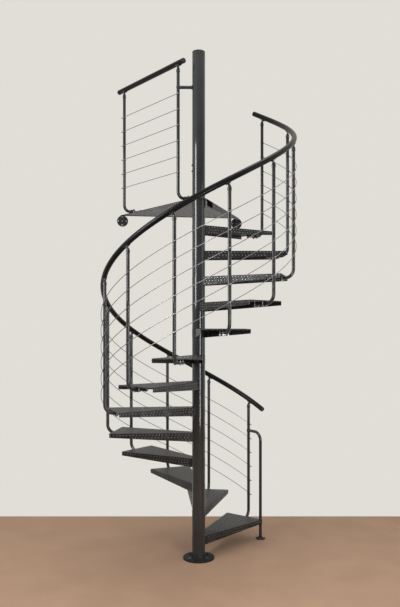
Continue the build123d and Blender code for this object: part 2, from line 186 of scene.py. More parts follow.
ELBOW = RAIL_HEIGHT - BRACKET_REACH / cos(SLOPE)

# --- wires
WIRES = 6
WIRE_R = 0.0025
WIRE_REACH = POST_R + REST_GAP + WIRE_R
WIRE_CIRCLE_R = POST_CIRCLE_R + WIRE_REACH
WIRE_SLOPE = atan(CLIMB / WIRE_CIRCLE_R)
WIRE_HEIGHT = 0.177
WIRE_SPACING = 0.1203
WIRE_HEIGHTS = [WIRE_HEIGHT + row * WIRE_SPACING for row in range(WIRES)]
WIRE_END_TURN = radians(1.4)
SLEEVE_R = WIRE_R + 0.0022
FERRULE = (-0.0015, 0.0095)
CLIP_R = POST_R + 0.001
CLIP_EDGE = 0.0007
CLIP_HALF = 0.0045
EYE_HALF = 0.006

# --- landing
LANDING_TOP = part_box("landing_platform")[1].z
LANDING_LEFT = radians(130.4)
LANDING_RIGHT = radians(71.3)
LANDING_FAR = radians(97.7)
LANDING_DEPTH = 0.795
LANDING_RING_R = 0.068
LANDING_FLANGE_ROOT = 0.062
LANDING_FLANGE_TIP = 0.022
LANDING_LIP = 0.006
LANDING_ROOT_REACH = 0.2
LANDING_COLLAR = 0.005
LANDING_STUD_END = 0.020
LANDING_STUD_SIDE = 0.016
# Size of the black plate that paints the shadow at the landing flange's root.
ROOT_SHADOW_PLATE = (0.135, 0.003, 0.046)
DISC_R = 0.049
DISC_THICKNESS = 0.006
DISC_DROP = 0.051
DISC_INSET = 0.020
DISC_BOLT_CIRCLE_R = 0.035
DISC_BOLT_HEAD = 0.011
DISC_BOLT_WASHER_R = 0.0075

# --- guard
GUARD_OFFSET = LANDING_RING_R + 0.053
GUARD_POSTS = (0.102, 0.844)
GUARD_BEND_R = 0.048
GUARD_HEIGHT = 1.050
GUARD_RAIL = (0.035, 0.921)
GUARD_WIRE_HEIGHT = 0.205
GUARD_WIRE_SPACING = 0.121
GUARD_WIRE_HEIGHTS = [GUARD_WIRE_HEIGHT + row * GUARD_WIRE_SPACING for row in range(WIRES)]
GUARD_WIRE_END = 0.018
GUARD_WIRE = (GUARD_POSTS[0] - GUARD_WIRE_END, GUARD_POSTS[1] + GUARD_WIRE_END)
STRUT_DROP = 0.187
STRUT_COLLAR = 0.006
STRUT_COLLAR_R = POST_R + 0.0035
STRUT_BAND_HALF = 0.010
BAND_R = POST_R + 0.0025
BAND_EDGE = 0.0015

# --- start brace
BRACE_HEIGHT = 0.891
BRACE_BEND_R = 0.070
BRACE_SIDE = 0.149
BRACE_BAND_HALF = 0.012
STRAP_R = POST_R + 0.003
STRAP_LEVEL = FIRST_TOP - 0.014
STRAP_HALF = 0.008
STRAP_SCREW_R = 0.005
STRAP_SEAT_R = POST_R + 0.0028
STRAP_SCREW_TURNS = (0.2, -1.7)
FOOT_R = 0.040
FOOT_THICKNESS = 0.006
FOOT_EDGE = 0.0018
FOOT_COLLAR_R = POST_R + 0.0042
FOOT_COLLAR_TOP = 0.022
FOOT_COLLAR_EDGE = 0.0014
FOOT_SCREW_CIRCLE_R = 0.028
FOOT_SCREW_TURN = 0.4

# --- fasteners
WASHER = 0.0016
HEX_HEAD = 0.013
HEX_WASHER_R = 0.0085
SCREW_R = 0.0055

# --- camera
CAMERA_SIDE = 0.0104
CAMERA_DISTANCE = 4.987
CAMERA_HEIGHT = 1.775
CAMERA_LENS = 38.32
CAMERA_SENSOR = 36.0
CAMERA_RISE = 0.0402

# --- studio
BACKDROP = (0.745, 0.73, 0.68)
PALE_BACK = (0.62, 0.61, 0.585)
DIM_FRONT = (0.125,) * 3
CEILING = (0.75, 0.74, 0.715)
FRONT_TO_BACK = (-0.7, 0.5)
WALL_TO_CEILING = (0.24, 0.38)
BACKDROP_EDGE = (0.0, 0.4)
FLOOR_TONES = ((0.30, 0.190, 0.126), (0.34, 0.217, 0.144))
FLOOR_ROUGH = 0.75
FLOOR_SHINE = 0.2
FLOOR_BACK = 1.1
FLOOR_DEPTH = 12.0
FLOOR_WIDTH = 18.0

# Each lamp's name, its place, where it aims, its width and height, and its watts.
LAMPS = (
    ("window_left", (-2.5, -1.9, 3.05), (0, 0, 2.8), 1.2, 2.0, 104),
    ("window_right", (1.45, -2.85, 1.3), (0, 0, 1.3), 0.5, 1.5, 40),
    ("key_top", (1.0, -0.3, 6.6), (0, 0, 1.6), 2.6, 2.6, 88),
    ("fill_right", (4.5, -1.5, 2.6), (0, 0, 2.2), 2.5, 2.6, 26),
)

# --- surfaces
CLOUD_SCALE = 7.0
SHEEN_SCALE = 60.0
PEEL_SCALE = 520.0
PEEL_DEPTH = 0.0004
LACQUER_ROUGH = 0.07
CELL_SCALE = 80.0
CELL_DEPTH = 0.003
CELL_SHINE = 0.43
GRAIN_SCALE = 240.0
GRAIN_DEPTH = 0.0002
GRAIN_DULL = 0.7


# --- materials
def new_material(name):
    material = bpy.data.materials.new(name)
    material.use_nodes = True
    return material, material.node_tree, material.node_tree.nodes["Principled BSDF"]


def dial(node, **values):
    """Set a node's own sockets; an underscore stands for a space in a socket's name."""
    for key, value in values.items():
        node.inputs[key.replace("_", " ")].default_value = value


def coordinates(tree, kind):
    return tree.nodes.new("ShaderNodeTexCoord").outputs[kind]


def noise(tree, scale, detail=3.0):
    texture = tree.nodes.new("ShaderNodeTexNoise")
    dial(texture, Scale=scale, Detail=detail)
    tree.links.new(coordinates(tree, "Object"), texture.inputs["Vector"])
    return texture.outputs["Fac"]


def ramp(tree, source, low, high, colours):
    node = tree.nodes.new("ShaderNodeValToRGB")
    stops = node.color_ramp.elements
    for stop, position, colour in zip(stops, (low, high), colours):
        stop.position = position
        stop.color = (*colour, 1)
    tree.links.new(source, node.inputs["Fac"])
    return node.outputs["Color"]


def bump(tree, shader, height, strength, distance):
    node = tree.nodes.new("ShaderNodeBump")
    dial(node, Strength=strength, Distance=distance)
    tree.links.new(height, node.inputs["Height"])
    tree.links.new(node.outputs["Normal"], shader.inputs["Normal"])


def map_range(tree, source, low, high, ends="To"):
    """Stretch 0 to 1 out to the two values, or with ends "From" bring the two values to 0 and 1."""
    node = tree.nodes.new("ShaderNodeMapRange")
    dial(node, **{ends + "_Min": low, ends + "_Max": high})
    tree.links.new(source, node.inputs["Value"])
    return node.outputs["Result"]


def coated_steel(name, dark, light, rough, peel=0.12, lacquer=0.0, shine=0.5):
    """Powder coat: slightly uneven colour and sheen over a fine orange peel, under a smooth lacquer."""
    material, tree, shader = new_material(name)
    dial(shader, Coat_Weight=lacquer, Coat_Roughness=LACQUER_ROUGH, Specular_IOR_Level=shine)
    cloud = noise(tree, CLOUD_SCALE, 4.0)
    tree.links.new(ramp(tree, cloud, 0.32, 0.68, (dark, light)), shader.inputs["Base Color"])
    sheen = noise(tree, SHEEN_SCALE)
    tree.links.new(map_range(tree, sheen, rough - 0.03, rough + 0.06), shader.inputs["Roughness"])
    bump(tree, shader, noise(tree, PEEL_SCALE, 2.0), peel, PEEL_DEPTH)
    return material


def embossed_sheet(name, dark, light, rough):
    """The treads' coated sheet: hammered cells, glossier on their crowns and duller in their hollows;
    lighter on the crowns as wear and painted highlight, darker in the hollows as painted shade.
    """
    material, tree, shader = new_material(name)
    dial(shader, Specular_IOR_Level=CELL_SHINE)
    cells = tree.nodes.new("ShaderNodeTexVoronoi")
    dial(cells, Scale=CELL_SCALE)
    tree.links.new(coordinates(tree, "UV"), cells.inputs["Vector"])
    hollow = cells.outputs["Distance"]
    # Colour follows the cells' height: lighter crowns are wear and painted highlight, darker hollows are
    # painted shade.
    tree.links.new(ramp(tree, hollow, 0.1, 0.75, (light, dark)), shader.inputs["Base Color"])
    tree.links.new(map_range(tree, hollow, rough - 0.08, rough + 0.2), shader.inputs["Roughness"])
    bump(tree, shader, hollow, 0.8, CELL_DEPTH)
    return material


def bright_metal(name, colour, rough):
    """Bare steel or zinc: clouded tone and broken gloss."""
    material, tree, shader = new_material(name)
    dial(shader, Metallic=1.0)
    cloud = noise(tree, GRAIN_SCALE)
    dull = tuple(c * GRAIN_DULL for c in colour)
    tree.links.new(ramp(tree, cloud, 0.3, 0.7, (dull, colour)), shader.inputs["Base Color"])
    tree.links.new(map_range(tree, cloud, rough - 0.06, rough + 0.1), shader.inputs["Roughness"])
    bump(tree, shader, noise(tree, GRAIN_SCALE * 4, 2.0), 0.2, GRAIN_DEPTH)
    return material


POWDER = coated_steel(
    "powder_coat", (0.015, 0.016, 0.0172), (0.023, 0.0243, 0.026), 0.5, lacquer=0.85, shine=0.15
)
PLATE_COAT = coated_steel(
    "floor_plate_coat", (0.012, 0.0128, 0.0138), (0.018, 0.019, 0.0205), 0.55, lacquer=0.06, shine=0.06
)
SHEET_COAT = embossed_sheet("anti_slip_sheet", (0.005, 0.0052, 0.0054), (0.019, 0.0196, 0.0202), 0.3)
# Stud crowns far lighter than the sheet: partly wear, partly painted glints for stud tops catching the
# light.
STUD_CROWN_WEAR_AND_GLINT_COAT = coated_steel("stud_crowns_worn_and_painted_glint", (0.12, 0.122, 0.125), (0.29, 0.292, 0.295), 0.17)
RAIL_COAT = coated_steel(
    "black_handrail", (0.004, 0.0042, 0.0044), (0.007, 0.0072, 0.0075), 0.3, peel=0.05, shine=0.15
)
# Painted shadow: a dead black with no sheen, for the plate at the landing flange's root where there is
# only shade.
ROOT_SHADOW_COAT = coated_steel(
    "painted_root_shadow", (0.004, 0.0042, 0.0044), (0.006, 0.0062, 0.0065), 0.8, shine=0.0
)
PLASTIC = coated_steel("black_plastic", (0.012, 0.0125, 0.013), (0.018, 0.0185, 0.019), 0.46)
WIRE = bright_metal("bright_wire", (0.30, 0.30, 0.295), 0.4)
ZINC = bright_metal("bright_zinc", (0.46, 0.465, 0.47), 0.34)
STEEL = "powder_coated_steel"
FINISH = {
    STEEL: POWDER,
    "anti_slip_sheet": SHEET_COAT,
    "black_handrail": RAIL_COAT,
    "black_plastic": PLASTIC,
    "bright_wire": WIRE,
}


def dress_cad_nodes():
    for part in frame["record"]["subparts"]:
        mesh = frame["nodes"][part["node"]].data
        mesh.materials.clear()
        mesh.materials.append(FINISH[part["material_slot"]])


# --- places
def moved(x=0.0, y=0.0, z=0.0):
    return Matrix.Translation((x, y, z))


def turned(angle, axis="Z"):
    return Matrix.Rotation(angle, 4, axis)


def polar(radius, turn, height=0.0):
    return Vector((radius * cos(turn), radius * sin(turn), height))


def facing(origin, along, across=(0, 0, 1)):
    """A place whose +Z points along a direction and whose +X is as near as can be to another."""
    up = Vector(along).normalized()
    side = up.cross(Vector(across)).normalized()
    rest = side.cross(up).normalized()
    turn = Matrix((rest, side, up)).transposed()
    return moved(*origin) @ turn.to_4x4()


def facing_out(radius, turn, height):
    """A place on a round surface, with +Z straight out."""
    return facing(polar(radius, turn, height), polar(1, turn))


def round_seats(count, radius, first_turn, height=0.0):
    """Places spread evenly round a circle."""
    return [moved(*polar(radius, first_turn + step * 2 * pi / count, height)) for step in range(count)]


def climbing(turn, slope):
    """The way a line with a slope runs as it climbs past a turn."""
    return Vector((-sin(turn), cos(turn), tan(slope)))


def rail_level(turn):
    return FIRST_TOP + RAIL_HEIGHT + (turn - FIRST_TURN) * CLIMB


def at_tread(number):
    step = number - 1
    return moved(z=FIRST_TOP + step * RISER) @ turned(FIRST_TURN + step * TREAD_TURN)


def at_post(number, height=0.0):
    return at_tread(number) @ moved(POST_CIRCLE_R, 0, height)


def guard_place(distance):
    """A place on the line of the guard's uprights: +X is away from the landing, +Y towards the pole."""
    foot = polar(GUARD_OFFSET, LANDING_LEFT + pi / 2, LANDING_TOP) + polar(distance, LANDING_LEFT)
    return moved(*foot) @ turned(LANDING_LEFT + pi / 2)


# --- workshop
def take(*pieces):
    """Select these pieces and nothing else."""
    bpy.ops.object.select_all(action="DESELECT")
    for piece in pieces:
        piece.select_set(True)
    bpy.context.view_layer.objects.active = pieces[0]


def settle(name, coat):
    """Name the new primitive, give it its coat and put its place into its mesh."""
    piece = bpy.context.object
    piece.name = name
    piece.data.materials.clear()
    piece.data.materials.append(coat)
    take(piece)
    bpy.ops.object.transform_apply()
    return piece


def choose(piece, kind, test):
    """Go into edit mode with the corners, edges or faces whose middle passes the test selected."""
    take(piece)
    bpy.ops.object.mode_set(mode="EDIT")
    bpy.ops.mesh.select_mode(type=kind)
    bpy.ops.mesh.select_all(action="DESELECT")
    leave()
    mesh = piece.data
    if kind == "FACE":
        for face in mesh.polygons:
            face.select = bool(test(face.center, face.normal))
    if kind == "EDGE":
        for edge in mesh.edges:
            first, last = (mesh.vertices[index].co for index in edge.vertices)
            edge.select = bool(test((first + last) / 2, last - first))
    if kind == "VERT":
        for corner in mesh.vertices:
            corner.select = bool(test(corner.co, corner.normal))
    bpy.ops.object.mode_set(mode="EDIT")


def leave():
    bpy.ops.object.mode_set(mode="OBJECT")


def everything(middle, direction):
    return True


def facing_up(middle, normal):
    return normal.z > 0.9


def facing_down(middle, normal):
    return normal.z < -0.9


def at_height(level):
    """A test for what lies on a level."""
    return lambda middle, direction: abs(middle.z - level) < HAIR


def push(x=0.0, y=0.0, z=0.0):
    bpy.ops.mesh.extrude_region_move(TRANSFORM_OT_translate={"value": (x, y, z)})


def push_at(piece, kind, test, **move):
    choose(piece, kind, test)
    push(**move)
    leave()


def shift_at(piece, kind, test, move):
    choose(piece, kind, test)
    bpy.ops.transform.translate(value=move)
    leave()


def narrow_at(piece, kind, test, share):
    choose(piece, kind, test)
    bpy.ops.transform.resize(value=share, center_override=(0, 0, 0))
    leave()


def remove_at(piece, kind, test, what):
    choose(piece, kind, test)
    bpy.ops.mesh.delete(type=what)
    leave()


def bevel_at(piece, test, width, segments):
    choose(piece, "EDGE", test)
    bpy.ops.mesh.bevel(offset=width, segments=segments, affect="EDGES")
    leave()


def step_in(margin, rise):
    """Inset the chosen faces and raise what is left of them."""
    bpy.ops.mesh.inset(thickness=margin)
    bpy.ops.transform.translate(value=(0, 0, rise))


def step_under(piece, margin, rise):
    """Inset the under face and draw its middle up or down."""
    choose(piece, "FACE", facing_down)
    bpy.ops.mesh.inset(thickness=margin)
    push(z=rise)
    leave()


def merge_doubles():
    bpy.ops.mesh.select_all(action="SELECT")
    bpy.ops.mesh.remove_doubles(threshold=0.00002)


def tidy_shell(piece):
    """Merge doubles and turn all faces outwards."""
    take(piece)
    bpy.ops.object.mode_set(mode="EDIT")
    merge_doubles()
    bpy.ops.mesh.normals_make_consistent(inside=False)
    leave()


def modify(piece, kind, **settings):
    take(piece)
    modifier = piece.modifiers.new(kind.lower(), kind)
    for key, value in settings.items():
        setattr(modifier, key, value)
    bpy.ops.object.modifier_apply(modifier=modifier.name)


def soften(piece, width, segments=2, angle=radians(35)):
    modify(piece, "BEVEL", width=width, segments=segments, limit_method="ANGLE", angle_limit=angle)


def join(name, pieces):
    take(*pieces)
    bpy.ops.object.join()
    piece = bpy.context.object
    piece.name = name
    return piece


def copy_to(master, matrix, name="copy"):
    copy = master.copy()
    copy.data = master.data.copy()
    copy.data.transform(matrix)
    copy.name = name
    bpy.context.collection.objects.link(copy)
    return copy


def copies_of(master, places):
    """A copy of the master at each place; the master goes."""
    copies = [copy_to(master, place) for place in places]
    bpy.data.objects.remove(master)
    return copies


def array_of(name, master, places):
    """One piece made of a copy of the master at each place."""
    return join(name, copies_of(master, places))


def finish(piece, slot, *nodes):
    take(piece)
    bpy.ops.object.shade_smooth_by_angle(angle=radians(38))
    modify(piece, "WEIGHTED_NORMAL", keep_sharp=True)
    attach(piece, "root")
    if nodes:
        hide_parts(*nodes)


def add_at_each_tread(master, place_at, node, ending, slot):
    """A finished copy of the master at each tread, for the node of that number; the master goes."""
    for number in TREAD_NUMBERS:
        name = f"{node}_{number:02d}"
        finish(copy_to(master, place_at(number), f"{name}_{ending}"), slot, name)
    bpy.data.objects.remove(master)


def upright(radius, low, high, sides, name, coat=POWDER):
    """A round bar on Z between two heights."""
    middle = (0, 0, (low + high) / 2)
    bpy.ops.mesh.primitive_cylinder_add(vertices=sides, radius=radius, depth=high - low, location=middle)
    return settle(name, coat)


def eased(radius, low, high, sides, name, edge, coat=POWDER, segments=2):
    """A round bar on Z with its rims eased."""
    bar = upright(radius, low, high, sides, name, coat)
    soften(bar, edge, segments)
    return bar


def ring_on_x(name, sides, radius, x, level=0.0):
    """A circle that faces along X, to be drawn out."""
    bpy.ops.mesh.primitive_circle_add(vertices=sides, radius=radius, rotation=(0, pi / 2, 0))
    bpy.context.object.location = (x, 0, level)
    return settle(name, POWDER)


# --- fasteners
def hex_bolt(across=HEX_HEAD, washer_r=HEX_WASHER_R, coat=ZINC):
    """Hex head on a washer: the seat at zero, the head towards +Z."""
    plate = upright(washer_r, 0, WASHER, 16, "washer", coat)
    head = upright(across / sqrt(3), WASHER, WASHER + across * 0.45, 6, "head", coat)
    choose(head, "FACE", facing_up)
    step_in(across * 0.09, across * 0.06)
    leave()
    return join("hex_bolt", [plate, head])


def button_screw(radius=SCREW_R, coat=ZINC):
    """Low domed head with a socket: the seat at zero, the head towards +Z."""
    head = upright(radius, 0, radius * 0.6, 14, "button_screw", coat)
    choose(head, "FACE", facing_up)
    step_in(radius * 0.32, radius * 0.22)
    step_in(radius * 0.26, radius * -0.4)
    leave()
    return head


# --- sheets and studs
def flat_map(piece):
    """A UV map in metres, from above on level faces and from the side on upright ones."""
    layer = piece.data.uv_layers.new(name="sheet_map")
    for face in piece.data.polygons:
        level = abs(face.normal.z) > 0.6
        for loop in face.loop_indices:
            spot = piece.data.vertices[piece.data.loops[loop].vertex_index].co
            layer.data[loop].uv = (spot.x, spot.y) if level else (hypot(spot.x, spot.y), spot.z)


def move_corner(piece, spot, target):
    """Move the corner of a flat sheet that lies nearest a spot."""
    nearest = min(piece.data.vertices, key=lambda corner: (corner.co - Vector(spot)).length).co.copy()
    move = Vector(target) - nearest
    shift_at(piece, "VERT", lambda place, normal: (place - nearest).length < HAIR, move)


def flat_sheet(name, corners):
    """A flat sheet between its right root, right tip, left tip and left root."""
    bpy.ops.mesh.primitive_plane_add(size=1)
    sheet = settle(name, SHEET_COAT)
    for spot, target in zip(((-0.5, -0.5, 0), (0.5, -0.5, 0), (0.5, 0.5, 0), (-0.5, 0.5, 0)), corners):
        move_corner(sheet, spot, target)
    return sheet


def fold_edges(piece, depth):
    """Fold the whole edge of a flat sheet down, with a radius at the fold and nothing beneath."""
    push_at(piece, "FACE", everything, z=-depth)
    remove_at(piece, "FACE", at_height(-depth), "ONLY_FACE")
    tidy_shell(piece)
    bevel_at(piece, at_height(0), SHEET, 3)


def shorten_flange(pan, depth, lip):
    """Cut the flange that faces +X free at its corners and bring it up to a shallow lip."""
    share = (lip - SHEET) / (depth - SHEET)
    choose(pan, "FACE", lambda middle, normal: normal.x > 0.5 and middle.z < -SHEET)
    bpy.ops.mesh.split()
    bpy.ops.transform.resize(value=(1, 1, share), center_override=(0, 0, -SHEET))
    merge_doubles()
    leave()


def fold_pan(pan, depth, lip, root_x, deepening):
    """Fold a flat sheet into a pan: a lip at its tip, and side flanges that deepen towards its root."""
    fold_edges(pan, depth)
    shorten_flange(pan, depth, lip)
    drop = (0, 0, -deepening)
    shift_at(pan, "VERT", lambda place, normal: place.x < root_x and place.z < HAIR - depth, drop)


def stud():
    """One low pressed stud on the level z = 0, open beneath."""
    bpy.ops.mesh.primitive_circle_add(
        vertices=8, radius=STUD_R, fill_type="NGON", location=(0, 0, -STUD_SINK)
    )
    piece = settle("stud", SHEET_COAT)
    choose(piece, "FACE", everything)
    push(z=STUD_HEIGHT)
    bpy.ops.transform.resize(value=(STUD_CROWN, STUD_CROWN, 1), center_override=(0, 0, 0))
    leave()
    remove_at(piece, "FACE", at_height(-STUD_SINK), "FACE")
    # The stud's top face takes the lighter crown coat, which is wear and painted glint.
    piece.data.materials.append(STUD_CROWN_WEAR_AND_GLINT_COAT)
    piece.active_material_index = 1
    choose(piece, "FACE", at_height(STUD_HEIGHT - STUD_SINK))
    bpy.ops.object.material_slot_assign()
    leave()
    return piece


def studs(rows):
    """Rows of studs along Y: each row is its distance, its two ends and its stagger."""
    first = stud()
    lines = []
    for along, start, end, offset in rows:
        room = end - start - offset
        if room < 0:
            continue
        count = int(room / STUD_PITCH) + 1
        spare = (room - (count - 1) * STUD_PITCH) / 2
        line = copy_to(first, moved(along, start + offset + spare))
        modify(line, "ARRAY", count=count, use_relative_offset=False, use_constant_offset=True,
               constant_offset_displace=(0, STUD_PITCH, 0))
        lines.append(line)
    bpy.data.objects.remove(first)
    return join("studs", lines)


def stagger(step):
    return STUD_PITCH / 2 * (step % 2)


def stud_rows(first, last, ends_at):
    """Staggered rows across a sheet from its far edge back; ends_at gives the two ends of a row."""
    rows = []
    for step in range(int((last - first) / ROW_PITCH) + 1):
        along = last - step * ROW_PITCH
        rows.append((along, *ends_at(along), stagger(step)))
    return rows


def flange_studs(root, tip, side, root_depth, tip_depth):
    """Studs on a flange's outer face, root to tip; side is 1 on the right, -1 on the left."""
    run = Vector(tip) - Vector(root)
    along = run.normalized()
    out = Vector((along.y, -along.x, 0)) * side
    upward = along.cross(out)
    rows = []
    for step in range(SIDE_ROWS):
        level = SIDE_ROW_DROP + step * SIDE_ROW_PITCH
        reach = run.length
        while reach > 0:
            depth = root_depth + (tip_depth - root_depth) * (reach / run.length)
            if depth - level >= SIDE_ROW_FOOT:
                break
            reach -= SIDE_ROW_STEP
        if reach > STUD_PITCH:
            rows.append((-level * upward.z, SIDE_ROW_START, reach - SIDE_ROW_END, stagger(step)))
    field = studs(rows)
    turn = Matrix((upward, along, out)).transposed().to_4x4()
    field.data.transform(moved(*root) @ turn)
    return field


# --- treads
def half_width(x):
    share = (x - POLE_R) / (NOSE_X - POLE_R)
    return (TREAD_ROOT_WIDTH + share * (TREAD_TIP_WIDTH - TREAD_ROOT_WIDTH)) / 2


def tread_pan():
    root, tip = half_width(0), half_width(NOSE_X)
    pan = flat_sheet("tread_pan", [(0, -root, 0), (NOSE_X, -tip, 0), (NOSE_X, tip, 0), (0, root, 0)])
    corner_angle = pi / 2 - atan((TREAD_TIP_WIDTH - TREAD_ROOT_WIDTH) / 2 / (NOSE_X - POLE_R))
    choose(pan, "VERT", lambda place, normal: place.x > NOSE_X - HAIR)
    bpy.ops.mesh.bevel(offset=TREAD_CORNER_R / tan(corner_angle / 2), segments=7, affect="VERTICES")
    leave()
    deepening = (FLANGE_ROOT - FLANGE_TIP) * NOSE_X / (NOSE_X - POLE_R)
    fold_pan(pan, FLANGE_TIP, NOSE_LIP, TREAD_ROOT_REACH, deepening)
    modify(pan, "SOLIDIFY", thickness=SHEET, offset=-1)
    return pan


def hub_ring(depth):
    """The sleeve that is welded flush round the pole."""
    ring = upright(HUB_R, -depth, 0, 64, "hub_ring")
    choose(ring, "FACE", lambda middle, normal: abs(normal.z) > 0.9)
    bpy.ops.mesh.inset(thickness=HUB_R - POLE_R - HUB_GAP)
    bpy.ops.mesh.delete(type="FACE")
    leave()
    soften(ring, HUB_EDGE)
    return ring


def tread_row(along):
    reach = half_width(along) - STUDS_FROM_SIDE
    return -reach, reach


def tread():
    top_studs = studs(stud_rows(HUB_R + STUDS_FROM_HUB, NOSE_X - STUDS_FROM_NOSE, tread_row))
    pieces = [tread_pan(), hub_ring(FLANGE_ROOT), top_studs]
    for side in SIDES:
        root = (HUB_R, -side * half_width(HUB_R), 0)
        tip = (NOSE_X, -side * half_width(NOSE_X), 0)
        pieces.append(flange_studs(root, tip, side, FLANGE_ROOT, FLANGE_TIP))
    whole = join("tread", pieces)
    flat_map(whole)
    return whole


def add_treads():
    add_at_each_tread(tread(), at_tread, "tread", "sheet", "anti_slip_sheet")


# --- bent tubes
def bent_tube(name, length, level, bend_r, rise):
    """A tube that comes in along +X at a level and bends up, or down, by its rise at x = 0."""
    up = 1 if rise > 0 else -1
    centre = (-bend_r, 0, level + up * bend_r)
    tube = ring_on_x(name, TUBE_SIDES, POST_R, -length, level)
    push_at(tube, "EDGE", everything, x=length - bend_r)
    choose(tube, "EDGE", lambda middle, along: middle.x > -bend_r - HAIR)
    bpy.ops.mesh.spin(steps=BEND_STEPS, angle=pi / 2, center=centre, axis=(0, up, 0))
    leave()

    def bend_rim(middle, along):
        return middle.x > -POST_R - HAIR and abs(middle.z - centre[2]) < HAIR and abs(along.z) < HAIR

    def open_ends(middle, along):
        return middle.x < -length + HAIR or abs(middle.z - level - rise) < HAIR

    push_at(tube, "EDGE", bend_rim, z=rise - up * bend_r)
    choose(tube, "EDGE", open_ends)
    bpy.ops.mesh.edge_face_add()
    leave()
    tidy_shell(tube)
    soften(tube, SOFT_EDGE, angle=radians(60))
    return tube


def add_posts():
    rise = ELBOW - CUP_TOP + LEG_DROP
    master = bent_tube("post", LEG_LENGTH, -LEG_DROP, POST_BEND_R, rise)
    add_at_each_tread(master, at_post, "post", "tube", STEEL)


# --- clamps
def cradle():
    """The bridge: a strip that cups the leg on X from below and has a wing at each side."""
    bridge = ring_on_x("bridge", 36, CRADLE_R, -CLAMP_LENGTH / 2)
    remove_at(bridge, "VERT", lambda place, normal: place.z > -CRADLE_R * cos(CRADLE_ARC), "VERT")
    for side in SIDES:
        choose(bridge, "VERT", lambda place, normal: place.y * side > CRADLE_R * sin(CRADLE_EDGE))
        push(y=side * BRIDGE_WING)
        leave()
    push_at(bridge, "EDGE", everything, x=CLAMP_LENGTH)
    lowest = min(bridge.data.polygons, key=lambda face: face.center.z)
    modify(bridge, "SOLIDIFY", thickness=BRIDGE, offset=1 if lowest.normal.z < 0 else -1)
    tidy_shell(bridge)
    soften(bridge, SOFT_EDGE)
    return bridge


def clamp(seat, bolt_end):
    """Bridge under a leg on X at z = 0, drawn up by two long studs from a seat above it."""
    bridge = cradle()
    level = max(corner.co.z for corner in bridge.data.vertices) - BRIDGE
    nuts = [moved(0, side * CLAMP_REACH, level) @ turned(pi, "X") for side in SIDES]
    shank = eased(STUD_BOLT_R, -POST_R - bolt_end, seat, 10, "shank", STUD_BOLT_EDGE, ZINC, 1)
    shanks = [moved(0, side * CLAMP_REACH) for side in SIDES]
    return join("clamp", [bridge, *copies_of(hex_bolt(), nuts), *copies_of(shank, shanks)])


def add_clamps():
    under = []
    over = []
    for back in CLAMP_BACKS:
        flipped = moved(-back, 0, GUARD_LEG_LIFT) @ turned(pi, "X")
        under += [at_post(number, -LEG_DROP) @ moved(-back) for number in TREAD_NUMBERS]
        over += [guard_place(distance) @ flipped for distance in GUARD_POSTS]
    lower = array_of("tread_clamps", clamp(LEG_DROP - SHEET, STUD_BOLT_END), under)
    upper = array_of("guard_clamps", clamp(GUARD_LEG_LIFT, GUARD_BOLT_END), over)
    finish(join("leg_clamps", [lower, upper]), STEEL, "post_clamps")


# --- handrail
def helix(name, bar_r, radius, start, end, above, sides, coat):
    """A bar that climbs round the pole; its upright section is stretched so that it comes out round."""
    turn = end - start
    steps = round(turn / HELIX_STEP)
    place = polar(radius, start, rail_level(start) + above)
    tilt = (pi / 2, 0, start)
    bpy.ops.mesh.primitive_circle_add(vertices=sides, radius=bar_r, location=place, rotation=tilt)
    bar = bpy.context.object
    bar.scale = (1, 1 / cos(atan(CLIMB / radius)), 1)
    bar = settle(name, coat)
    modify(bar, "SCREW", angle=turn, screw_offset=turn * CLIMB, steps=steps, render_steps=steps)
    return bar


def rail_spot(turn):
    return polar(POST_CIRCLE_R, turn, rail_level(turn))


def square_end(bar, turn, way):
    """Cut one end of the rail square to its run and close it."""
    spot = rail_spot(turn)
    choose(bar, "FACE", lambda middle, normal: (middle - spot).length < RAIL_END_REACH)
    bpy.ops.mesh.bisect(
        plane_co=spot, plane_no=climbing(turn, SLOPE) * way, use_fill=True, clear_outer=True
    )
    leave()


def add_handrail():
    start, end = RAIL_START - RAIL_SPARE, RAIL_END + RAIL_SPARE
    bar = helix("handrail_tube", RAIL_R, POST_CIRCLE_R, start, end, 0, 32, RAIL_COAT)
    for turn, way in RAIL_ENDS:
        square_end(bar, turn, way)
    tidy_shell(bar)
    finish(bar, "black_handrail", "handrail")


def end_cap():
    """A low crowned plug with a shadow gap at the rail."""
    cap = upright(RAIL_R, CAP_GAP, CAP_LENGTH, 32, "end_cap", PLASTIC)
    bevel_at(cap, at_height(CAP_LENGTH), CAP_ROUND, 5)
    step_under(cap, CAP_NECK, -CAP_GAP)
    return cap


def add_end_caps():
    places = [facing(rail_spot(turn), climbing(turn, SLOPE) * way) for turn, way in RAIL_ENDS]
    for distance, way in zip(GUARD_RAIL, SIDES):
        spot = guard_place(distance) @ Vector((0, 0, GUARD_HEIGHT))
        places.append(facing(spot, polar(way, LANDING_LEFT)))
    finish(array_of("end_caps", end_cap(), places), "black_plastic", "rail_end_caps")


# --- rail brackets
def saddle(spot, along):
    """Curved plate under the rail, with two screws."""
    bpy.ops.mesh.primitive_cylinder_add(
        vertices=48, radius=SADDLE_R, depth=SADDLE_LENGTH, end_fill_type="NOTHING"
    )
    plate = settle("saddle", POWDER)
    remove_at(plate, "FACE", lambda middle, normal: middle.x < SADDLE_R * cos(SADDLE_ARC), "FACE")
    modify(plate, "SOLIDIFY", thickness=SADDLE_WALL, offset=1)
    soften(plate, FINE_EDGE)
    outside = RAIL_R + SADDLE_WALL
    seats = [moved(outside, 0, side * SADDLE_SCREW_REACH) @ turned(pi / 2, "Y") for side in SIDES]
    whole = join("saddle", [plate, *copies_of(button_screw(SADDLE_SCREW_R), seats)])
    whole.data.transform(facing(spot, along, -spot))
    return whole


